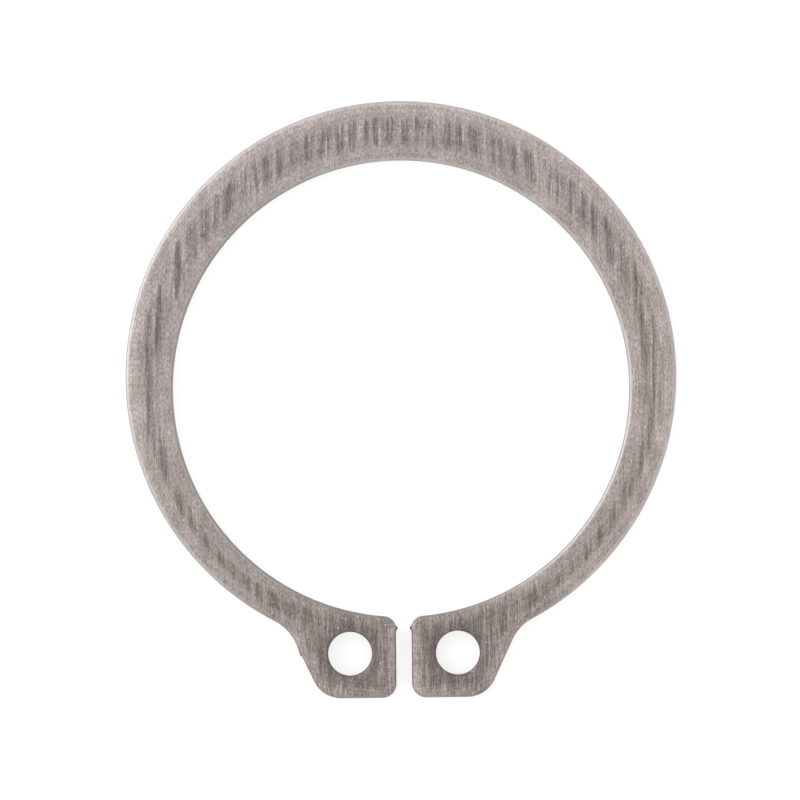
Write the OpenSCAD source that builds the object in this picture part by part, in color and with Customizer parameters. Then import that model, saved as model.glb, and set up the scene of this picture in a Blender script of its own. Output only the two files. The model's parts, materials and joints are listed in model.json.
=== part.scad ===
// External retaining ring for a 25 mm shaft: one flat stamping with two lugs for pliers.
// The origin is on the axis of the bore, at the underside. +Z points out of the face that the punch
// met first, whose edges are the rounder ones, and the lugs point along -Y.

/* [Band] */
// Inside diameter of the free ring, as it lies off its shaft
bore_d = 23.2; // [22:0.1:24.4]
// Thickness of the strip that the ring is stamped from
thickness = 1.2; // [0.8:0.05:2]
// Radial width of the band at the back, opposite the gap
back_w = 3.02; // [2.6:0.02:3.6]
// Radial width that the band tapers to at the front, behind the lugs
front_w = 1.78; // [1.5:0.02:2.2]

/* [Lugs] */
// Width of the gap between the lugs
gap_w = 0.8; // [0.4:0.05:1.6]
// Height of a lug, from the bore to its flat end
lug_h = 4.1; // [3.8:0.05:4.6]
// Width of a lug along its flat end, between corners that are not yet rounded
lug_w = 3.78; // [3.5:0.02:4.4]
// Angle by which the outer flank of a lug leans away from the mid line
flank_lean = 25; // [18:0.5:30]
// Diameter of the pliers holes
hole_d = 2.22; // [1.8:0.02:2.4]
// Distance from the gap face of a lug to the axis of its hole
hole_from_gap = 2.34; // [2.1:0.02:2.6]
// Distance from the flat end of a lug to the axis of its hole
hole_from_end = 2.26; // [2:0.02:2.5]

/* [Corners] */
// Radius of the corner between the bore and a gap face
bore_corner_r = 0.6; // [0.4:0.05:0.9]
// Radius of the corner between a gap face and the flat end
end_corner_r = 0.7; // [0.4:0.05:1]
// Radius of the heel between the flat end and the outer flank
heel_r = 1.5; // [0.8:0.05:1.8]
// Radius of the fillet that runs the outer flank into the rim
root_r = 2.3; // [1.2:0.1:3]

/* [Edges] */
// Radius that the punch draws over the edges of the upper face
roll_r = 0.16; // [0.08:0.02:0.26]
// Radius that tumbling leaves on the edges of the underside
tumble_r = 0.08; // [0.04:0.02:0.2]

/* [Die marks] */
// How far the nib stands proud of each gap face, where two strokes of the die met
nib_h = 0.1; // [0.04:0.02:0.16]
// Length of the nib along the gap face
nib_l = 0.34; // [0.2:0.02:0.5]
// How far the left flank stands proud above the step that the die left in it
step_h = 0.06; // [0.02:0.02:0.12]
// Length over which that step fades into the flank
step_l = 0.6; // [0.3:0.05:0.7]
// Distance from the foot of the flank to the step
step_at = 2.4; // [2:0.05:2.4]

/* [Hidden] */
$fn = 180;
// Facets that a full circle of an edge round shows in the preview
edge_fn = 48;
// How far the cutting shapes run on past the faces that they cut
past = 0.5;
// Rounds that only touch their neighbour are made larger by this, so that they cross it cleanly
kiss = 0.001;
// Angle by which the cut along the fillet runs on past both ends of the fillet
run_on = 5;

// The bore and the rim are two circles with different centres, and that gives the band its taper
bore_r = bore_d / 2;
rim_r = bore_r + (back_w + front_w) / 2;
rim_c = [0, (back_w - front_w) / 2];

// Sides of the right-hand lug: the gap face, the flat end, and the flank with the way it runs and
// the way it faces
face_x = gap_w / 2;
end_y = -bore_r - lug_h;
foot = [face_x + lug_w, end_y];
flank_along = [sin(flank_lean), cos(flank_lean)];
flank_out = [cos(flank_lean), -sin(flank_lean)];
hole_c = [face_x + hole_from_gap, end_y + hole_from_end];

// Centres of the rounds, each one radius away from both sides that it joins
bore_corner_reach = bore_r + bore_corner_r;
bore_corner_x = face_x + bore_corner_r;
bore_corner_c = [bore_corner_x, -sqrt(pow(bore_corner_reach, 2) - pow(bore_corner_x, 2))];
end_corner_c = [face_x + end_corner_r, end_y + end_corner_r];
heel_c = [foot.x - heel_r * (1 - sin(flank_lean)) / cos(flank_lean), end_y + heel_r];

// The fillet's centre lies on a line one radius outside the flank, where a circle about the rim's
// centre crosses it first
root_reach = rim_r + root_r;
root_line = foot + root_r * flank_out - rim_c;
root_half = root_line * flank_along;
root_step = -root_half - sqrt(pow(root_half, 2) - root_line * root_line + pow(root_reach, 2));
root_c = rim_c + root_line + root_step * flank_along;

// Where the rounds meet their neighbours
corner_on_bore = bore_corner_c * bore_r / bore_corner_reach;
heel_on_flank = heel_c + heel_r * flank_out;
root_on_flank = root_c - root_r * flank_out;
root_on_rim = rim_c + (root_c - rim_c) * rim_r / root_reach;

function heading(v) = atan2(v.y, v.x);

// What rounding takes off a corner: the kite between the round's centre, its two tangent points and
// the corner, drawn at twice its size to clear the metal, less the round itself
module corner_waste(corner, first, centre, second, radius)
    translate(centre) difference() {
        scale(2) polygon([[0, 0], first - centre, corner - centre, second - centre]);
        circle(radius + kiss);
    }

// Outline of the right-hand lug, with a tail that lies inside the band
module lug_outline()
    difference() {
        polygon([[face_x, -bore_r / 2], [face_x, end_y], foot, root_on_flank, root_c, root_on_rim,
                 root_on_rim / 2]);
        translate(root_c) circle(root_r + kiss);
        corner_waste(foot, [heel_c.x, end_y], heel_c, heel_on_flank, heel_r);
        corner_waste([face_x, end_y], [end_corner_c.x, end_y], end_corner_c, [face_x, end_corner_c.y],
                     end_corner_r);
        corner_waste([face_x, corner_on_bore.y], [face_x, bore_corner_c.y], bore_corner_c, corner_on_bore,
                     bore_corner_r);
    }

module ring_outline()
    difference() {
        union() {
            difference() {
                translate(rim_c) circle(rim_r);
                translate([-corner_on_bore.x, -2 * rim_r]) square([2 * corner_on_bore.x, 2 * rim_r]);
            }
            lug_outline();
            mirror([1, 0]) lug_outline();
        }
        circle(bore_r);
        for (side = [-1, 1]) translate([side * hole_c.x, hole_c.y]) circle(hole_d / 2);
    }

// Section of what comes off an edge, above and below. The edge's wall lies on the Y axis, and its
// metal on the side of -X
module edge_section() {
    difference() {
        translate([-roll_r, thickness - roll_r]) square(roll_r + past);
        translate([-roll_r, thickness - roll_r]) circle(roll_r + kiss, $fn = edge_fn);
    }
    difference() {
        translate([-tumble_r, -past]) square(tumble_r + past);
        translate([-tumble_r, tumble_r]) circle(tumble_r + kiss, $fn = edge_fn);
    }
}

// That section along a straight edge, which faces one way and is cut clockwise from a point
module straight_cut(point, facing, length)
    translate(point) rotate([90, 0, facing]) linear_extrude(length) edge_section();

// Round an edge that bulges out of the metal
module bulge_cut(centre, radius, from, to)
    translate(centre) rotate_extrude(angle = to - from, start = from)
        translate([radius, 0]) edge_section();

// Round an edge that is hollowed into the metal
module hollow_cut(centre, radius, from, to)
    translate(centre) rotate_extrude(angle = to - from, start = from)
        translate([radius, 0]) mirror([1, 0]) edge_section();

// The straight cuts run on past the lug's corners, outside the metal
module lug_cuts() {
    straight_cut([face_x, end_y - past], 180, bore_corner_c.y + bore_corner_r - end_y + past);
    straight_cut([foot.x + past, end_y], -90, lug_w + 2 * past);
    straight_cut(root_on_flank, -flank_lean, norm(root_on_flank - foot) + past);
    bulge_cut(heel_c, heel_r + kiss, -90, -flank_lean);
    bulge_cut(end_corner_c, end_corner_r + kiss, 180, 270);
    bulge_cut(bore_corner_c, bore_corner_r + kiss, heading(-bore_corner_c), 180);
    hollow_cut(hole_c, hole_d / 2, 0, 360);
}

module root_cut()
    hollow_cut(root_c, root_r + kiss, heading(rim_c - root_c) - run_on, 180 - flank_lean + run_on);

module rim_cut() {
    lug_end = heading(root_on_rim - rim_c);
    bulge_cut(rim_c, rim_r, lug_end, 180 - lug_end);
}

// A mark that the die left on a wall, as high as the wall between its rounded edges. It is drawn
// from a point on the wall, with +X facing out of the metal
module wall_mark(point, facing, shape)
    translate([point.x, point.y, tumble_r]) rotate(facing)
        linear_extrude(thickness - roll_r - tumble_r) polygon(shape);

// The nib stands where the gap face turns into the corner of the bore
module nib()
    wall_mark([face_x, bore_corner_c.y], 180,
              [[nib_h, 0], [-nib_h, nib_l / 2], [-2 * nib_h, 0], [-nib_h, -nib_l / 2]]);

// The step faces the foot of the flank and fades towards the fillet
module flank_step()
    wall_mark(foot + step_at * flank_along, -flank_lean,
              [[step_h, 0], [0, step_l], [-step_h, step_l], [-step_h, 0]]);

module retaining_ring()
    color([0.64, 0.6, 0.58]) {
        difference() {
            linear_extrude(thickness) ring_outline();
            rim_cut();
            hollow_cut([0, 0], bore_r, 0, 360);
            lug_cuts();
            root_cut();
            mirror([1, 0, 0]) lug_cuts();
            mirror([1, 0, 0]) root_cut();
        }
        nib();
        mirror([1, 0, 0]) nib();
        mirror([1, 0, 0]) flank_step();
    }

retaining_ring();
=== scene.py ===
import json
import math
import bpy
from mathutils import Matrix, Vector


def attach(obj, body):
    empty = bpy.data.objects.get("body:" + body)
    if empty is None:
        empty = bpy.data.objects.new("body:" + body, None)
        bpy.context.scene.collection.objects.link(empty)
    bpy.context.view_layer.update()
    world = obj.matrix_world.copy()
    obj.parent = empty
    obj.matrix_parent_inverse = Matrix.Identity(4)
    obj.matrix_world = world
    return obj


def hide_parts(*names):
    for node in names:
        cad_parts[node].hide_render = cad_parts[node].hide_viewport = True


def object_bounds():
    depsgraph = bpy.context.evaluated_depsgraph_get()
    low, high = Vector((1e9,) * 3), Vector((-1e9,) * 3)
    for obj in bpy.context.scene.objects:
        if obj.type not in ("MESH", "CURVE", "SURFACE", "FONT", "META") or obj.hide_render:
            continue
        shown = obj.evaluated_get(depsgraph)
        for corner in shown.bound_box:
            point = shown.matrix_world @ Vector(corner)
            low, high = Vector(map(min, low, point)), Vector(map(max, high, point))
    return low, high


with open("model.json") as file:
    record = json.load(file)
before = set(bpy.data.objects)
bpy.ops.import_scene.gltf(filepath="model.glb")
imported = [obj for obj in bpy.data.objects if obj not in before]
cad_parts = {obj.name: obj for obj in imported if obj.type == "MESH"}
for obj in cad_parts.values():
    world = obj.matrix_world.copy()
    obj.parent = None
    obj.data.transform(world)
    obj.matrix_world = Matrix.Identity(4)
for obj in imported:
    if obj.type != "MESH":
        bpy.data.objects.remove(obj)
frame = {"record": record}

from types import SimpleNamespace

import bmesh
import bpy
from bpy.props import FloatProperty, FloatVectorProperty, PointerProperty
from mathutils import Vector

bl_info = {
    "name": "Shaft retaining ring",
    "version": (1, 0, 0),
    "blender": (4, 5, 0),
    "location": "3D View > Sidebar > Ring",
    "description": "Models and lights a stamped steel retaining ring with two lugs for pliers",
    "category": "Object",
}

# The ring is drawn a thousand times larger than life, so one unit on the drawing is a millimetre.
# Fill and merge work to fixed tolerances that are coarse beside the smallest rounds of the ring.
MM = 0.001

CAD_LOW, CAD_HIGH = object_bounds()
MOUNTS = {mount["name"]: mount for mount in frame["record"]["mounts"]}
NODE = "retaining_ring"

# Settings that several shader nodes share, and the sockets of a colour mix
SMOOTH = {"interpolation_type": "SMOOTHSTEP"}
COLOURS = {"data_type": "RGBA", "output": 2}
FIRST, SECOND = 6, 7


def linear(hex_colour):
    """An sRGB colour such as #a1948f, as the linear values that shaders and lamps take."""
    values = [int(hex_colour[i:i + 2], 16) / 255 for i in (1, 3, 5)]
    return tuple(v / 12.92 if v <= 0.04045 else ((v + 0.055) / 1.055) ** 2.4 for v in values)


class RingSizes(bpy.types.PropertyGroup):
    """Sizes of the stamping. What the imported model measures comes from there."""

    thickness: FloatProperty(
        name="Thickness", description="Thickness of the strip that the ring is stamped from",
        default=CAD_HIGH.z - CAD_LOW.z, unit="LENGTH")
    bore_r: FloatProperty(
        name="Bore radius", description="Radius of the free ring's bore",
        default=MOUNTS["shaft_bore"]["dims"]["r_mm"] * MM, unit="LENGTH")
    rim_r: FloatProperty(
        name="Rim radius", description="Radius of the circle that the outside of the band follows",
        default=(CAD_HIGH.x - CAD_LOW.x) / 2, unit="LENGTH")
    back_y: FloatProperty(
        name="Back", description="How far the back of the band reaches from the axis of the bore",
        default=CAD_HIGH.y, unit="LENGTH")
    end_y: FloatProperty(
        name="Lug ends", description="Where the flat ends of the lugs lie along the ring",
        default=CAD_LOW.y, unit="LENGTH")
    gap_w: FloatProperty(
        name="Gap", description="Width of the gap between the lugs",
        default=0.8 * MM, unit="LENGTH")
    lug_w: FloatProperty(
        name="Lug width",
        description="Width of a lug along its flat end, before its corners are rounded",
        default=3.78 * MM, unit="LENGTH")
    flank_lean: FloatProperty(
        name="Flank lean", description="Angle between a lug's outer flank and the mid line",
        default=math.radians(25), subtype="ANGLE")
    hole_r: FloatProperty(
        name="Hole radius", description="Radius of the two holes for pliers",
        default=MOUNTS["right_pliers_hole"]["dims"]["r_mm"] * MM, unit="LENGTH")
    bore_corner_r: FloatProperty(
        name="Bore corner", description="Radius between the bore and a face of the gap",
        default=0.6 * MM, unit="LENGTH")
    end_corner_r: FloatProperty(
        name="End corner", description="Radius between a face of the gap and a lug's flat end",
        default=0.7 * MM, unit="LENGTH")
    heel_r: FloatProperty(
        name="Heel", description="Radius between a lug's flat end and its flank",
        default=1.5 * MM, unit="LENGTH")
    root_r: FloatProperty(
        name="Root", description="Radius of the fillet between a lug's flank and the rim",
        default=2.3 * MM, unit="LENGTH")
    roll_r: FloatProperty(
        name="Rolled edge", description="Radius that the punch drew over the edges of the upper face",
        default=0.16 * MM, unit="LENGTH")
    tumble_r: FloatProperty(
        name="Tumbled edge", description="Radius that tumbling left on the edges of the underside",
        default=0.08 * MM, unit="LENGTH")
    crown: FloatProperty(
        name="Border fall", description="How far tumbling wore the border of a face below its middle",
        default=0.03 * MM, unit="LENGTH")
    crown_w: FloatProperty(
        name="Border fall width",
        description="Width of the worn border, from the end of the edge's round",
        default=0.27 * MM, unit="LENGTH")
    nib_h: FloatProperty(
        name="Nib", description="How far the sheared nib stands proud of each face of the gap",
        default=0.1 * MM, unit="LENGTH")
    nib_l: FloatProperty(
        name="Nib length", description="Length of the nib along the face of the gap",
        default=0.34 * MM, unit="LENGTH")
    step_h: FloatProperty(
        name="Flank step", description="Height of the step that the die left in the left flank",
        default=0.06 * MM, unit="LENGTH")
    step_l: FloatProperty(
        name="Flank step length", description="Length over which that step fades into the flank",
        default=0.6 * MM, unit="LENGTH")
    step_at: FloatProperty(
        name="Flank step place", description="Distance from the foot of the flank to the step",
        default=2.4 * MM, unit="LENGTH")


class RingFinish(bpy.types.PropertyGroup):
    """Colours and roughness of the tumbled steel."""

    steel: FloatVectorProperty(
        name="Steel", description="Steel of the faces, between the streaks",
        default=linear("#b3a8a5"), subtype="COLOR", min=0, max=1)
    dull: FloatVectorProperty(
        name="Streaks", description="Dull streaks that rolling pressed into the strip",
        default=linear("#7b7170"), subtype="COLOR", min=0, max=1)
    # Also the painted highlight on the rounded edges, with their polish
    bright: FloatVectorProperty(
        name="Bright specks", description="Small spots that are rubbed bright",
        default=linear("#e0dbd8"), subtype="COLOR", min=0, max=1)
    # Also the painted shade in the dark line along the edges, on the left of the bore and on the nibs
    shade: FloatVectorProperty(
        name="Pits", description="Bottoms of the pits, where the tumbling did not reach",
        default=linear("#57504c"), subtype="COLOR", min=0, max=1)
    warm: FloatVectorProperty(
        name="Warmth", description="Tint of the steel towards the right-hand lug",
        default=linear("#fffefb"), subtype="COLOR", min=0, max=1)
    wall: FloatVectorProperty(
        name="Sheared wall", description="Smooth upper part of the wall, burnished by the die",
        default=linear("#aaa19d"), subtype="COLOR", min=0, max=1)
    torn: FloatVectorProperty(
        name="Torn wall", description="Grainy lower part of the wall, where the metal tore",
        default=linear("#938a86"), subtype="COLOR", min=0, max=1)
    roughness: FloatProperty(
        name="Roughness", description="Roughness of the tumbled faces",
        default=0.42, min=0, max=1, subtype="FACTOR")


class Outline:
    """The right half of the ring's outline, in millimetres on the drawing."""

    def __init__(self, sizes):
        self.bore_r = sizes.bore_r / MM
        self.rim_r = sizes.rim_r / MM
        self.rim_c = Vector((0, sizes.back_y / MM - self.rim_r))
        self.face_x = sizes.gap_w / 2 / MM
        self.end_y = sizes.end_y / MM
        self.lean = sizes.flank_lean
        self.along = Vector((math.sin(self.lean), math.cos(self.lean)))
        self.out = Vector((math.cos(self.lean), -math.sin(self.lean)))
        self.foot = Vector((self.face_x + sizes.lug_w / MM, self.end_y))
        self.hole_c = Vector(MOUNTS["right_pliers_hole"]["pos_m"][:2]) / MM
        self.hole_r = sizes.hole_r / MM

        self.bore_corner_r = sizes.bore_corner_r / MM
        reach = self.bore_r + self.bore_corner_r
        corner_x = self.face_x + self.bore_corner_r
        self.bore_corner_c = Vector((corner_x, -math.sqrt(reach ** 2 - corner_x ** 2)))

        self.end_corner_r = sizes.end_corner_r / MM
        self.end_corner_c = Vector((self.face_x + self.end_corner_r, self.end_y + self.end_corner_r))

        self.heel_r = sizes.heel_r / MM
        pull_in = self.heel_r * (1 - math.sin(self.lean)) / math.cos(self.lean)
        self.heel_c = Vector((self.foot.x - pull_in, self.end_y + self.heel_r))

        # The fillet's centre lies one radius outside the flank, where a circle about the rim's
        # centre crosses that line first
        self.root_r = sizes.root_r / MM
        reach = self.rim_r + self.root_r
        line = self.foot + self.root_r * self.out - self.rim_c
        half = line.dot(self.along)
        step = -half - math.sqrt(half ** 2 - line.length_squared + reach ** 2)
        self.root_c = self.rim_c + line + step * self.along

        self.nib_h = sizes.nib_h / MM
        self.nib_l = sizes.nib_l / MM
        self.step_h = sizes.step_h / MM
        self.step_l = sizes.step_l / MM
        self.step_start = self.foot + sizes.step_at / MM * self.along


def deselect_all():
    if bpy.context.object and bpy.context.object.mode != "OBJECT":
        bpy.ops.object.mode_set(mode="OBJECT")
    bpy.ops.object.select_all(action="DESELECT")


class Pen:
    """Draws a line of edges from point to point and round arcs, in edit mode."""

    def __init__(self, start, height):
        deselect_all()
        bpy.ops.mesh.primitive_plane_add(size=1, location=(0, 0, 0))
        bpy.ops.object.mode_set(mode="EDIT")
        bpy.ops.mesh.merge(type="CENTER")
        bpy.ops.transform.translate(value=(start.x, start.y, height))
        self.at = start
        self.height = height

    def line_to(self, point):
        step = point - self.at
        bpy.ops.mesh.extrude_region_move(TRANSFORM_OT_translate={"value": (step.x, step.y, 0)})
        self.at = point

    def arc_to(self, centre, direction):
        """Round a centre, the short way, until the point lies in that direction from it."""
        fewest = 4
        spoke = self.at - centre
        turn = -spoke.angle_signed(direction)
        steps = max(fewest, round(abs(turn) / arc_step(spoke.length)))
        bpy.ops.mesh.spin(steps=steps, angle=-turn, center=(centre.x, centre.y, self.height),
                          axis=(0, 0, 1))
        self.at = centre + direction.normalized() * spoke.length


def arc_step(radius):
    """Angle of one edge of an arc: finer on a large arc, but never so fine as to waste faces."""
    flatness = 0.0006
    finest, coarsest = math.radians(0.9), math.radians(7.5)
    return max(finest, min(coarsest, 2 * math.sqrt(2 * flatness / radius)))


def select_faces(chosen):
    """Select the faces of the mesh in edit mode that a test of their place and normal picks."""
    bpy.ops.mesh.select_mode(type="FACE")
    bpy.ops.mesh.select_all(action="DESELECT")
    mesh = bmesh.from_edit_mesh(bpy.context.object.data)
    mesh.normal_update()
    for face in mesh.faces:
        face.select = chosen(face)
    mesh.select_flush_mode()
    bmesh.update_edit_mesh(bpy.context.object.data)


def inset_profile(profile):
    """Inset what is selected once for each pair: how far in from the last, and how far out."""
    for across, outwards in profile:
        bpy.ops.mesh.inset(thickness=across, depth=outwards, use_even_offset=True, use_boundary=True)


def quarter_round(radius, steps):
    """Insets that turn from a wall into a face along a quarter of a circle."""
    turns = [math.pi / 2 * i / steps for i in range(steps + 1)]
    return [(radius * (math.cos(a) - math.cos(b)), radius * (math.sin(b) - math.sin(a)))
            for a, b in zip(turns, turns[1:])]


def worn_border(width, fall, steps):
    """Insets that rise through the worn border and level out, with a last one that is flat."""
    rises = [fall * (1 - (1 - i / steps) ** 2) for i in range(steps + 1)]
    return [(width / steps, b - a) for a, b in zip(rises, rises[1:])] + [(width / steps, 0)]


def draw_outline(shape, height):
    """The closed outline with both holes, as edges, from the right half and its mirror image."""
    up, down = Vector((0, 1)), Vector((0, -1))
    left, right = Vector((-1, 0)), Vector((1, 0))
    pen = Pen(Vector((0, shape.bore_r)), height)
    pen.arc_to(Vector((0, 0)), right)
    pen.arc_to(Vector((0, 0)), shape.bore_corner_c)
    pen.arc_to(shape.bore_corner_c, left)
    pen.line_to(Vector((shape.face_x, shape.end_corner_c.y)))
    pen.arc_to(shape.end_corner_c, down)
    pen.line_to(Vector((shape.heel_c.x, shape.end_y)))
    pen.arc_to(shape.heel_c, shape.out)
    pen.line_to(shape.root_c - shape.root_r * shape.out)
    pen.arc_to(shape.root_c, shape.rim_c - shape.root_c)
    pen.arc_to(shape.rim_c, right)
    pen.arc_to(shape.rim_c, up)
    bpy.ops.mesh.select_all(action="SELECT")
    bpy.ops.mesh.symmetrize(direction="POSITIVE_X", threshold=0.0001)
    for side in (-1, 1):
        bpy.ops.mesh.primitive_circle_add(
            vertices=96, radius=shape.hole_r,
            location=(side * shape.hole_c.x, shape.hole_c.y, height))


def cut_across(chosen, along, places):
    """Cut the faces that a test picks by planes that stand square to a direction, at each place."""
    for place in places:
        select_faces(chosen)
        bpy.ops.mesh.bisect(plane_co=(place.x, place.y, 0), plane_no=(along.x, along.y, 0))


def pull_out_marks(shape):
    """Pull out the nib on each face of the gap, and the step on the left flank. The metal just
    behind each mark follows it, less and less."""
    # How deep the metal follows a mark, the length of the step's own face, how far from a mark the
    # middle of a wall's face can lie, and a tolerance for what lies on the step's edge
    follows, step_face, beside, hair = 0.3, 0.02, 4, 0.001
    nib = Vector((shape.face_x, shape.bore_corner_c.y))
    step_start = Vector((-shape.step_start.x, shape.step_start.y))
    along = Vector((-shape.along.x, shape.along.y))
    out = Vector((-shape.out.x, shape.out.y))

    def in_strip(face, place, outwards):
        away = face.calc_center_median().xy - place
        near = abs(away.dot(outwards)) < 2 * follows and away.length < beside
        return near and len(face.verts) == 4

    cut_across(lambda face: in_strip(face, step_start, out), along,
               [step_start + shift * along for shift in
                (-step_face, 0, shape.step_l / 3, shape.step_l * 2 / 3, shape.step_l)])
    for side in (-1, 1):
        place = Vector((side * nib.x, nib.y))
        cut_across(lambda face: in_strip(face, place, Vector((side, 0))), Vector((0, 1)),
                   [place + Vector((0, shift)) for shift in (-shape.nib_l / 2, 0)])

    mesh = bmesh.from_edit_mesh(bpy.context.object.data)
    for vertex in mesh.verts:
        side = math.copysign(1, vertex.co.x)
        away = Vector((side * vertex.co.x, vertex.co.y)) - nib
        reach = max(abs(away.y) / (shape.nib_l / 2), abs(away.x) / follows)
        vertex.co.x -= side * shape.nib_h * max(0, 1 - reach)
        away = vertex.co.xy - step_start
        if away.dot(along) > -hair:
            reach = max(away.dot(along) / shape.step_l, abs(away.dot(out)) / follows)
            vertex.co.xy += out * shape.step_h * max(0, 1 - reach)
    bmesh.update_edit_mesh(bpy.context.object.data)


def model_ring(sizes):
    """The stamping: outline, thickness, rounds and the worn borders of both faces."""
    shape = Outline(sizes)
    thickness, roll_r = sizes.thickness / MM, sizes.roll_r / MM
    tumble_r, crown = sizes.tumble_r / MM, sizes.crown / MM
    crown_w = sizes.crown_w / MM
    wall_foot = tumble_r + crown
    wall_top = thickness - roll_r - crown
    draw_outline(shape, wall_foot)
    ring = bpy.context.object
    ring.name = ring.data.name = "tumbled_ring"
    bpy.ops.mesh.select_all(action="SELECT")
    bpy.ops.mesh.fill(use_beauty=True)
    bpy.ops.mesh.dissolve_limited(angle_limit=math.radians(0.5), use_dissolve_boundaries=False,
                                  delimit=set())
    bpy.ops.mesh.select_all(action="SELECT")
    wall_rows = 2
    for _ in range(wall_rows):
        rise = (wall_top - wall_foot) / wall_rows
        bpy.ops.mesh.extrude_region_move(TRANSFORM_OT_translate={"value": (0, 0, rise)})
    bpy.ops.mesh.select_all(action="SELECT")
    bpy.ops.mesh.normals_make_consistent(inside=False)
    flat = 0.99
    select_faces(lambda face: face.normal.z > flat)
    inset_profile(quarter_round(roll_r, steps=6) + worn_border(crown_w, crown, steps=5))
    select_faces(lambda face: face.normal.z < -flat)
    inset_profile(quarter_round(tumble_r, steps=4) + worn_border(crown_w, crown, steps=3))
    pull_out_marks(shape)
    bpy.ops.mesh.select_all(action="SELECT")
    bpy.ops.mesh.remove_doubles(threshold=0.002)
    bpy.ops.transform.resize(value=(MM, MM, MM), center_override=(0, 0, 0))
    bpy.ops.object.mode_set(mode="OBJECT")
    bpy.ops.object.shade_smooth_by_angle(angle=math.radians(35))
    return ring


def node(tree, kind, inputs=None, output=0, **settings):
    """Add one node with its settings; inputs gives each socket a value or the socket it links to."""
    made = tree.nodes.new(kind)
    for name, value in settings.items():
        setattr(made, name, value)
    for name, value in (inputs or {}).items():
        if isinstance(value, bpy.types.NodeSocket):
            tree.links.new(value, made.inputs[name])
        else:
            made.inputs[name].default_value = value
    return made.outputs[output] if made.outputs else made


def new_material(name):
    material = bpy.data.materials.new(name)
    material.use_nodes = True
    material.node_tree.nodes.clear()
    return material, material.node_tree


def opaque(colour):
    return (*colour[:3], 1)


def edge_distance(tree, place, shape):
    """How many millimetres of metal lie between a point and the nearest edge of the outline, the
    bore, and the nearest hole. The fillets are followed closely enough for a finish."""
    heel_round, root_round, corner_round = 0.5, 0.8, 0.2
    front_y = -shape.bore_r / 2
    xyz = node(tree, "ShaderNodeSeparateXYZ", {0: place})
    x = node(tree, "ShaderNodeMath", {0: xyz}, operation="ABSOLUTE")
    y = xyz.node.outputs["Y"]
    flat = node(tree, "ShaderNodeCombineXYZ", {"X": x, "Y": y})

    def inside_circle(centre, radius):
        reach = node(tree, "ShaderNodeVectorMath", {0: flat, 1: (centre[0], centre[1], 0)},
                     output="Value", operation="DISTANCE")
        return node(tree, "ShaderNodeMath", {0: radius, 1: reach}, operation="SUBTRACT")

    def behind_line(point, facing):
        along = node(tree, "ShaderNodeVectorMath", {0: flat, 1: (facing.x, facing.y, 0)},
                     output="Value", operation="DOT_PRODUCT")
        return node(tree, "ShaderNodeMath", {0: point.dot(facing), 1: along}, operation="SUBTRACT")

    def outside(distance):
        return node(tree, "ShaderNodeMath", {0: 0, 1: distance}, operation="SUBTRACT")

    flank = behind_line(shape.foot, shape.out)
    end = behind_line(shape.foot, Vector((0, -1)))
    front = behind_line(Vector((0, front_y)), Vector((0, 1)))
    lug = node(tree, "ShaderNodeMath", {0: flank, 1: end, 2: heel_round}, operation="SMOOTH_MIN")
    lug = node(tree, "ShaderNodeMath", {0: lug, 1: front}, operation="MINIMUM")
    band = inside_circle((0, shape.rim_c.y), shape.rim_r)
    metal = node(tree, "ShaderNodeMath", {0: band, 1: lug, 2: root_round}, operation="SMOOTH_MAX")

    gap = behind_line(Vector((shape.face_x, 0)), Vector((-1, 0)))
    gap = node(tree, "ShaderNodeMath", {0: gap, 1: outside(front)}, operation="MAXIMUM")
    bore = outside(inside_circle((0, 0), shape.bore_r))
    hole = outside(inside_circle(shape.hole_c, shape.hole_r))
    inner = node(tree, "ShaderNodeMath", {0: gap, 1: bore, 2: corner_round}, operation="SMOOTH_MIN")
    outline = node(tree, "ShaderNodeMath", {0: metal, 1: inner, 2: corner_round},
                   operation="SMOOTH_MIN")
    return SimpleNamespace(outline=outline, bore=bore, hole=hole)


def lug_share(tree, y, shape):
    """0 on the band and 1 on the lugs, with a soft change along the fillets between them."""
    begins, full = -0.75 * shape.bore_r, -1.05 * shape.bore_r
    return node(tree, "ShaderNodeMapRange", {"Value": y, "From Min": begins, "From Max": full},
                **SMOOTH)


def strip_grain(tree, place, width, length, detail=2, roughness=0.6):
    """Noise drawn out along the ring, the way that the strip was rolled, for a real grain size."""
    stretched = node(tree, "ShaderNodeMapping",
                     {"Vector": place, "Scale": (1 / width, 1 / length, 1 / width)})
    return node(tree, "ShaderNodeTexNoise",
                {"Vector": stretched, "Scale": 1, "Detail": detail, "Roughness": roughness})


def rolled_grain(tree, place):
    """The patterns that rolling and tumbling left, with their sizes in millimetres. The real grit
    is finer than the picture shows, so it is drawn as coarse as it needs to be to show at all."""
    return SimpleNamespace(
        line=strip_grain(tree, place, width=0.09, length=1.6, detail=3, roughness=0.7),
        streak=strip_grain(tree, place, width=0.2, length=4.2, detail=3, roughness=0.65),
        sway=strip_grain(tree, place, width=1.6, length=7.0, detail=1),
        cloud=strip_grain(tree, place, width=1.3, length=1.5, detail=3),
        grit=strip_grain(tree, place, width=0.06, length=0.2, detail=3, roughness=0.9))


def kept_skin(tree, edges, grain, on_lug):
    """1 where the strip's rolled skin survives, in the middle of the band, and 0 in the rubbed
    border. The border is about a millimetre wide, and narrower on the lugs. Its limit wanders, and
    each streak of the skin ends at a place of its own."""
    # Distances from the edge, with the wander in them, which comes to 0.7 mm on the average
    begins, full = 1.28, 1.8
    limit = edges.outline
    for wander, reach in ((grain.streak, 0.9), (grain.cloud, 0.5), (on_lug, 0.35)):
        limit = node(tree, "ShaderNodeMath", {0: wander, 1: reach, 2: limit}, operation="MULTIPLY_ADD")
    return node(tree, "ShaderNodeMapRange", {"Value": limit, "From Min": begins, "From Max": full},
                **SMOOTH)


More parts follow.
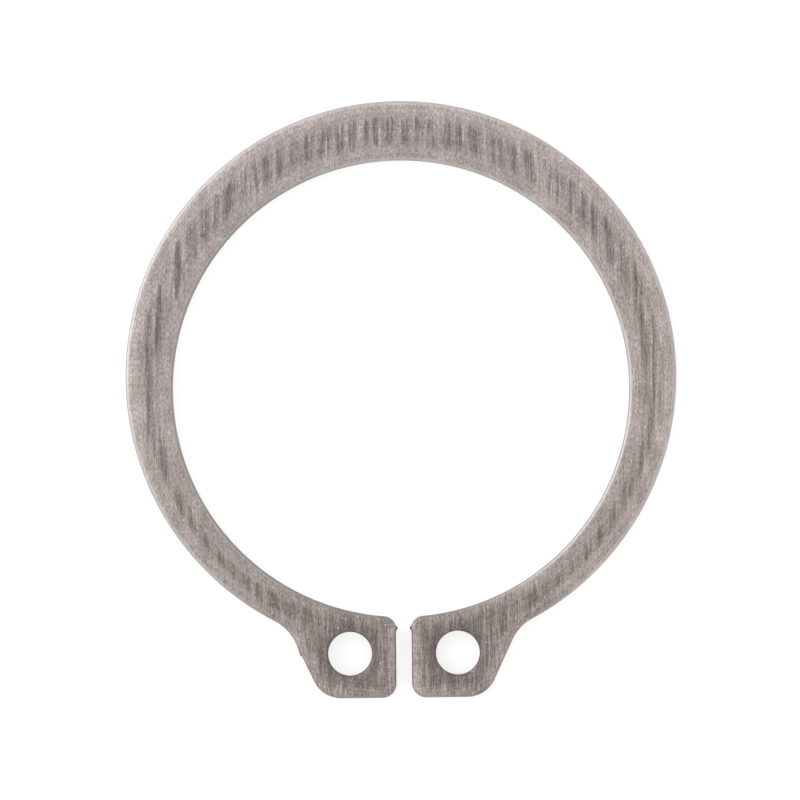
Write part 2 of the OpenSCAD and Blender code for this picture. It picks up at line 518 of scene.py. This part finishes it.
def dull_streaks(tree, x, grain, skin, on_lug):
    """The streaks that rolling pressed into the strip, from 0 to 1. They come in bunches, at a pitch
    that sways, and each bunch is made of finer lines."""
    bunch_pitch, sway_reach, half_pitch = 0.69, 1.9, 0.5
    bunch = node(tree, "ShaderNodeMath", {0: x, 1: bunch_pitch}, operation="DIVIDE")
    bunch = node(tree, "ShaderNodeMath", {0: grain.sway, 1: sway_reach, 2: bunch},
                 operation="MULTIPLY_ADD")
    bunch = node(tree, "ShaderNodeMath", {0: bunch, 1: half_pitch}, operation="PINGPONG")

    # Each row: what thins the streaks out, where they are faintest, where they are full, and how
    # much of them is left where they are faintest
    dull = None
    for source, faintest, full, least in (
            (grain.streak, 0.34, 0.53, 0), (bunch, 0.08, 0.36, 0.32), (grain.line, 0.38, 0.54, 0.05),
            # Little of them is left in the rubbed border, and seven tenths on the lugs
            (skin, 0, 1, 0.08), (on_lug, 2.8, 0, 0)):
        part = node(tree, "ShaderNodeMapRange", {"Value": source, "From Min": faintest,
                                                 "From Max": full, "To Min": least}, **SMOOTH)
        dull = part if dull is None else node(tree, "ShaderNodeMath", {0: dull, 1: part},
                                              operation="MULTIPLY")
    return dull


def fine_shade(tree, y, edges, grain, skin, on_lug):
    """How bright each spot is, as a multiple of the steel's own colour."""
    # The fine lines show most in the skin and on the lugs
    border_contrast, skin_contrast, lug_contrast = 0.45, 1.1, 0.5
    contrast = node(tree, "ShaderNodeMapRange",
                    {"Value": skin, "To Min": border_contrast, "To Max": skin_contrast})
    contrast = node(tree, "ShaderNodeMath", {0: on_lug, 1: lug_contrast, 2: contrast},
                    operation="MULTIPLY_ADD")
    shade = node(tree, "ShaderNodeMapRange", {"Value": grain.line, "From Min": 0.25,
                                              "From Max": 0.75, "To Min": -0.5, "To Max": 0.5})
    shade = node(tree, "ShaderNodeMath", {0: shade, 1: contrast, 2: 1}, operation="MULTIPLY_ADD")

    # Faint lines that run round along the bore, with their pitch in millimetres
    line_pitch = 0.08
    ring_map = node(tree, "ShaderNodeMath", {0: edges.bore, 1: line_pitch}, operation="DIVIDE")
    ring_map = node(tree, "ShaderNodeCombineXYZ", {"X": ring_map, "Y": grain.cloud})
    ring_line = node(tree, "ShaderNodeTexNoise", {"Vector": ring_map, "Scale": 1, "Detail": 1})

    # Each row: what the shade follows, its two ends, and the shade at each of them
    for source, first, last, first_shade, last_shade in (
            (grain.grit, 0.25, 0.75, 0.48, 1.52), (grain.cloud, 0.25, 0.75, 0.87, 1.13),
            (ring_line, 0.3, 0.7, 0.91, 1.09),
            # The bore's side was rubbed less than the rim's
            (edges.bore, 0, 1.3, 0.87, 1),
            # The border is brightest beside its edge
            (edges.outline, 0.75, 0.05, 1, 1.1),
            # The punch darkened the steel round each hole
            (edges.hole, 0.9, 0.1, 1, 0.84),
            # Painted shade, darker towards the front as the light falls from the back, and the lugs
            # darker still
            (y, -1, -9, 1, 0.9), (on_lug, 0, 1, 1, 0.86)):
        part = node(tree, "ShaderNodeMapRange",
                    {"Value": source, "From Min": first, "From Max": last,
                     "To Min": first_shade, "To Max": last_shade}, **SMOOTH)
        shade = node(tree, "ShaderNodeMath", {0: shade, 1: part}, operation="MULTIPLY")
    return shade


def warmed(tree, place, shape, colour, tint):
    """The same colour, a trace warmer towards the right-hand lug."""
    way = (0.5, -0.87, 0)
    share = node(tree, "ShaderNodeVectorMath", {0: place, 1: way}, output="Value",
                 operation="DOT_PRODUCT")
    share = node(tree, "ShaderNodeMapRange",
                 {"Value": share, "From Min": -shape.bore_r, "From Max": shape.bore_r}, **SMOOTH)
    warm = node(tree, "ShaderNodeVectorMath", {0: colour, 1: tint}, operation="MULTIPLY")
    return node(tree, "ShaderNodeMix", {"Factor": share, FIRST: colour, SECOND: warm}, **COLOURS)


def specks_and_pits(tree, place):
    """Small round dots, one to a cell. A few of them are bright specks, and a few others pits."""
    spacing, radius = 0.3, 0.05
    cells = node(tree, "ShaderNodeTexVoronoi", {"Vector": place, "Scale": 1 / spacing})
    rim = radius / spacing
    dots = node(tree, "ShaderNodeMapRange",
                {"Value": cells, "From Min": rim, "From Max": rim / 2}, **SMOOTH)
    pick = node(tree, "ShaderNodeSeparateXYZ", {0: cells.node.outputs["Color"]})
    chosen = []
    for test, limit in (("GREATER_THAN", 0.85), ("LESS_THAN", 0.12)):
        here = node(tree, "ShaderNodeMath", {0: pick, 1: limit}, operation=test)
        chosen.append(node(tree, "ShaderNodeMath", {0: here, 1: dots}, operation="MULTIPLY"))
    return chosen


def scratch(tree, place, start, end):
    """A straight scratch from point to point: 1 along its middle, and 0 from its edges outwards."""
    width = 0.08
    run = Vector(end) - Vector(start)
    step = node(tree, "ShaderNodeVectorMath", {0: place, 1: start}, operation="SUBTRACT")
    share = node(tree, "ShaderNodeVectorMath", {0: step, 1: run / run.length_squared},
                 output="Value", operation="DOT_PRODUCT")
    share = node(tree, "ShaderNodeClamp", {"Value": share})
    nearest = node(tree, "ShaderNodeVectorMath", {0: run, "Scale": share}, operation="SCALE")
    away = node(tree, "ShaderNodeVectorMath", {0: step, 1: nearest}, output="Value",
                operation="DISTANCE")
    return node(tree, "ShaderNodeMapRange", {"Value": away, "From Min": width / 2, "From Max": 0},
                **SMOOTH)


def tumbled_face(finish, shape, top):
    """Stainless spring steel strip, stamped and then tumbled. The tumbling rubs the border of each
    face to an even, pale satin, and most of all its edges, which are also painted lighter as a
    highlight. In the middle the strip's rolled skin survives, darker, with dull streaks that all run
    the way it was rolled. Painted shade lies in a line where the edges turn into the wall, along the
    left of the bore, on the nibs and towards the front."""
    material, tree = new_material("tumbled_stainless_strip")
    place = node(tree, "ShaderNodeTexCoord", output="Object")
    place = node(tree, "ShaderNodeVectorMath", {0: place, "Scale": 1 / MM}, operation="SCALE")
    x = node(tree, "ShaderNodeSeparateXYZ", {0: place})
    y = x.node.outputs["Y"]
    edges = edge_distance(tree, place, shape)
    on_lug = lug_share(tree, y, shape)
    grain = rolled_grain(tree, place)
    skin = kept_skin(tree, edges, grain, on_lug)
    dull = dull_streaks(tree, x, grain, skin, on_lug)
    speck, pit = specks_and_pits(tree, place)

    shade = fine_shade(tree, y, edges, grain, skin, on_lug)
    colour = node(tree, "ShaderNodeMix",
                  {"Factor": dull, FIRST: opaque(finish.steel), SECOND: opaque(finish.dull)},
                  **COLOURS)
    colour = node(tree, "ShaderNodeVectorMath", {0: colour, "Scale": shade}, operation="SCALE")
    colour = warmed(tree, place, shape, colour, finish.warm)

    # The holes' edges get a little less of the polish, painted highlight and painted shade line than
    # the outline's, so they count as farther off
    hole_lag = 0.1
    nearest = node(tree, "ShaderNodeMath", {0: edges.hole, 1: hole_lag}, operation="ADD")
    nearest = node(tree, "ShaderNodeMath", {0: edges.outline, 1: nearest}, operation="MINIMUM")
    # The rounded edges are painted lighter, partly for their polish and partly as a painted highlight,
    # less on the lugs
    band_polish_and_highlight, lug_polish_and_highlight = 0.6, 0.15
    polish_and_highlight = node(tree, "ShaderNodeMapRange",
                  {"Value": on_lug, "To Min": band_polish_and_highlight, "To Max": lug_polish_and_highlight})
    # Painted shade along the left side of the bore, strongest towards the left
    most_bore_shade, shadiest_x = 0.4, -0.7 * shape.bore_r
    painted_bore_shade = node(tree, "ShaderNodeMapRange",
                {"Value": x, "From Min": 0, "From Max": shadiest_x, "To Max": most_bore_shade}, **SMOOTH)
    light_scratch = scratch(tree, place, start=(12.05, 0.22, top), end=(12.5, 0.25, top))
    dark_scratch = scratch(tree, place, start=(-1.4, -13.4, top), end=(-0.8, -13.38, top))

    # Each row: what a mark follows, where it begins, where it is full, how strong it is there, and
    # its tint. Distances are in millimetres
    for source, begins, full, most, tint in (
            # The punch left a dull halo round each hole
            (edges.hole, 0.8, 0.1, 0.2, finish.dull),
            # The rounded edges are painted lighter, for their tumbled polish and as a painted
            # highlight, and a painted shade line lies where they turn into the wall
            (nearest, 0.24, 0.06, polish_and_highlight, finish.bright), (nearest, 0.06, 0.01, 0.35, finish.shade),
            (speck, 0, 1, 0.8, finish.bright), (pit, 0, 1, 0.5, finish.shade),
            # Painted shade lies along the left side of the bore, whose rounded edge faces away from
            # the light
            (edges.bore, 0.2, 0.03, painted_bore_shade, finish.shade),
            # The nibs, and the flank step where it stands out, lie outside the outline proper, and are
            # painted with shade
            (edges.outline, 0, -0.03, 1, finish.shade),
            (light_scratch, 0, 1, 0.35, finish.bright), (dark_scratch, 0, 1, 0.5, finish.shade)):
        share = node(tree, "ShaderNodeMapRange", {"Value": source, "From Min": begins,
                                                  "From Max": full, "To Max": most}, **SMOOTH)
        colour = node(tree, "ShaderNodeMix", {"Factor": share, FIRST: colour, SECOND: opaque(tint)},
                      **COLOURS)

    rough = finish.roughness
    for source, gain in ((dull, 0.12), (grain.grit, 0.1)):
        rough = node(tree, "ShaderNodeMath", {0: source, 1: gain, 2: rough}, operation="MULTIPLY_ADD")
    relief = grain.streak
    for source, height in ((grain.line, 0.5), (grain.grit, 0.25), (pit, -0.8)):
        relief = node(tree, "ShaderNodeMath", {0: source, 1: height, 2: relief},
                      operation="MULTIPLY_ADD")
    bump = node(tree, "ShaderNodeBump", {"Strength": 0.4, "Distance": 0.01 * MM, "Height": relief})
    surface = node(tree, "ShaderNodeBsdfPrincipled",
                   {"Base Color": colour, "Roughness": rough, "Normal": bump, "Metallic": 1.0})
    node(tree, "ShaderNodeOutputMaterial", {"Surface": surface})
    return material


def sheared_wall(finish, sizes):
    """The stamped wall of the same steel. Its upper part slid along the die and is smooth, with
    fine upright drag lines. Its lower part tore, and is duller and grainy under the tumbling."""
    material, tree = new_material("sheared_stainless_wall")
    place = node(tree, "ShaderNodeTexCoord", output="Object")
    place = node(tree, "ShaderNodeVectorMath", {0: place, "Scale": 1 / MM}, operation="SCALE")
    height = node(tree, "ShaderNodeSeparateXYZ", {0: place}, output="Z")

    # Sizes of the patterns in millimetres
    drag_w, drag_h, wave_w, crumb_w = 0.08, 1.2, 0.9, 0.09
    drag_map = node(tree, "ShaderNodeMapping",
                    {"Vector": place, "Scale": (1 / drag_w, 1 / drag_w, 1 / drag_h)})
    drag = node(tree, "ShaderNodeTexNoise", {"Vector": drag_map, "Scale": 1, "Detail": 2})
    wave = node(tree, "ShaderNodeTexNoise", {"Vector": place, "Scale": 1 / wave_w, "Detail": 4})
    crumb = node(tree, "ShaderNodeTexNoise", {"Vector": place, "Scale": 1 / crumb_w, "Detail": 3})

    # The tear reaches about this share of the thickness, and its limit wanders and blends over
    # these heights in millimetres
    torn_share, wander, blend = 0.4, 0.4, 0.2
    limit = node(tree, "ShaderNodeMath", {0: wave, 1: wander, 2: sizes.thickness / MM * torn_share},
                 operation="MULTIPLY_ADD")
    limit = node(tree, "ShaderNodeMath", {0: limit, 1: height}, operation="SUBTRACT")
    torn = node(tree, "ShaderNodeMapRange",
                {"Value": limit, "From Min": wander / 2, "From Max": wander / 2 + blend}, **SMOOTH)

    tones = []
    for pattern, tint, least, most in ((drag, finish.wall, 0.82, 1.12),
                                       (crumb, finish.torn, 0.75, 1.2)):
        shade = node(tree, "ShaderNodeMapRange", {"Value": pattern, "From Min": 0.3, "From Max": 0.7,
                                                  "To Min": least, "To Max": most}, **SMOOTH)
        tones.append(node(tree, "ShaderNodeVectorMath", {0: tint, "Scale": shade}, operation="SCALE"))
    colour = node(tree, "ShaderNodeMix", {"Factor": torn, FIRST: tones[0], SECOND: tones[1]},
                  **COLOURS)
    wall_roughness, torn_roughness = 0.34, 0.56
    rough = node(tree, "ShaderNodeMapRange",
                 {"Value": torn, "To Min": wall_roughness, "To Max": torn_roughness})
    drag_depth = 0.3
    lines = node(tree, "ShaderNodeMath", {0: drag, 1: drag_depth}, operation="MULTIPLY")
    relief = node(tree, "ShaderNodeMix", {"Factor": torn, "A": lines, "B": crumb})
    bump = node(tree, "ShaderNodeBump", {"Strength": 0.5, "Distance": 0.02 * MM, "Height": relief})
    surface = node(tree, "ShaderNodeBsdfPrincipled",
                   {"Base Color": colour, "Roughness": rough, "Normal": bump, "Metallic": 1.0})
    node(tree, "ShaderNodeOutputMaterial", {"Surface": surface})
    return material


class RING_OT_stamping(bpy.types.Operator):
    """Model the retaining ring and give it its tumbled finish"""
    bl_idname = "ring.stamping"
    bl_label = "Retaining ring"

    def execute(self, context):
        sizes, finish = context.scene.ring_sizes, context.scene.ring_finish
        ring = model_ring(sizes)
        ring.data.materials.append(tumbled_face(finish, Outline(sizes), sizes.thickness / MM))
        ring.data.materials.append(sheared_wall(finish, sizes))
        wall_index, upright = 1, 0.08
        for face in ring.data.polygons:
            if abs(face.normal.z) < upright:
                face.material_index = wall_index
        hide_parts(NODE)
        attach(ring, "root")
        return {"FINISHED"}


class RING_OT_stage(bpy.types.Operator):
    """Lay the floor, hang the lamps and set the camera"""
    bl_idname = "ring.stage"
    bl_label = "Stage"

    def execute(self, context):
        lay_floor()
        light_sky()
        hang_lamp("top_softbox", place=(0, 0.02, 0.9), size=1.1, radiance=0.35)
        hang_lamp("left_softbox", place=(-0.75, 0.3, 0.55), size=0.9, radiance=1.3)
        set_camera()
        return {"FINISHED"}


def lay_floor():
    """A pale floor that shows white where the light falls on it freely, and keeps the shadow."""
    deselect_all()
    bpy.ops.mesh.primitive_plane_add(size=3, location=(0, 0, CAD_LOW.z))
    floor = bpy.context.object
    floor.name = "studio_floor"
    material, tree = new_material("matt_white_board")
    board = node(tree, "ShaderNodeBsdfDiffuse", {"Color": opaque(linear("#bcbcbc"))})
    # It glows where the camera or a reflection sees it, and that glow lights nothing else
    glow_level = 0.7
    seen = node(tree, "ShaderNodeLightPath", output="Is Camera Ray")
    rays = seen.node.outputs
    for ray in ("Is Glossy Ray", "Is Transmission Ray"):
        seen = node(tree, "ShaderNodeMath", {0: seen, 1: rays[ray]}, operation="MAXIMUM")
    strength = node(tree, "ShaderNodeMath", {0: seen, 1: glow_level}, operation="MULTIPLY")
    glow = node(tree, "ShaderNodeEmission", {"Strength": strength})
    surface = node(tree, "ShaderNodeAddShader", {0: board, 1: glow})
    node(tree, "ShaderNodeOutputMaterial", {"Surface": surface})
    floor.data.materials.append(material)


def light_sky():
    world = bpy.data.worlds.new("pale_room")
    world.use_nodes = True
    world.node_tree.nodes.clear()
    sky = node(world.node_tree, "ShaderNodeBackground", {"Color": (1, 1, 1, 1), "Strength": 0.7})
    node(world.node_tree, "ShaderNodeOutputWorld", {"Surface": sky})
    bpy.context.scene.world = world


def hang_lamp(name, place, size, radiance):
    """A square softbox that faces the ring; radiance is how bright its cloth looks."""
    deselect_all()
    bpy.ops.object.light_add(type="AREA", location=place)
    lamp = bpy.context.object
    lamp.name = name
    lamp.data.shape = "SQUARE"
    lamp.data.size = size
    lamp.data.energy = radiance * math.pi * size ** 2
    lamp.rotation_euler = Vector(place).to_track_quat("Z", "Y").to_euler()


def set_camera():
    """Straight above the ring, far off with a long lens, turned a little as the picture is."""
    frame_w = 40.64 * MM
    height = 0.7
    turn = math.radians(0.645)
    right = Vector((math.cos(turn), -math.sin(turn), 0))
    up = Vector((math.sin(turn), math.cos(turn), 0))
    bore_right, bore_up = 0.052 * MM, 0.574 * MM
    target = -bore_right * right - bore_up * up
    deselect_all()
    bpy.ops.object.camera_add(location=(target.x, target.y, CAD_HIGH.z + height))
    camera = bpy.context.object
    camera.rotation_euler = (0, 0, -turn)
    camera.data.sensor_width = 36
    camera.data.lens = camera.data.sensor_width * height / frame_w
    camera.data.clip_start = 0.01
    bpy.context.scene.camera = camera


class RING_PT_panel(bpy.types.Panel):
    """Lists the pieces of the ring's scene"""
    bl_idname = "RING_PT_panel"
    bl_label = "Retaining ring"
    bl_space_type = "VIEW_3D"
    bl_region_type = "UI"
    bl_category = "Ring"

    def draw(self, context):
        layout = self.layout
        layout.operator(RING_OT_stamping.bl_idname)
        layout.operator(RING_OT_stage.bl_idname)
        for group in (context.scene.ring_sizes, context.scene.ring_finish):
            box = layout.box()
            for name in group.bl_rna.properties.keys():
                if name not in ("rna_type", "name"):
                    box.prop(group, name)


CLASSES = (RingSizes, RingFinish, RING_OT_stamping, RING_OT_stage, RING_PT_panel)


def register():
    for item in CLASSES:
        bpy.utils.register_class(item)
    bpy.types.Scene.ring_sizes = PointerProperty(type=RingSizes)
    bpy.types.Scene.ring_finish = PointerProperty(type=RingFinish)


def unregister():
    del bpy.types.Scene.ring_finish
    del bpy.types.Scene.ring_sizes
    for item in reversed(CLASSES):
        bpy.utils.unregister_class(item)


def main():
    register()
    bpy.context.scene.view_settings.view_transform = "Standard"
    bpy.ops.ring.stamping()
    bpy.ops.ring.stage()


if __name__ == "__main__":
    main()
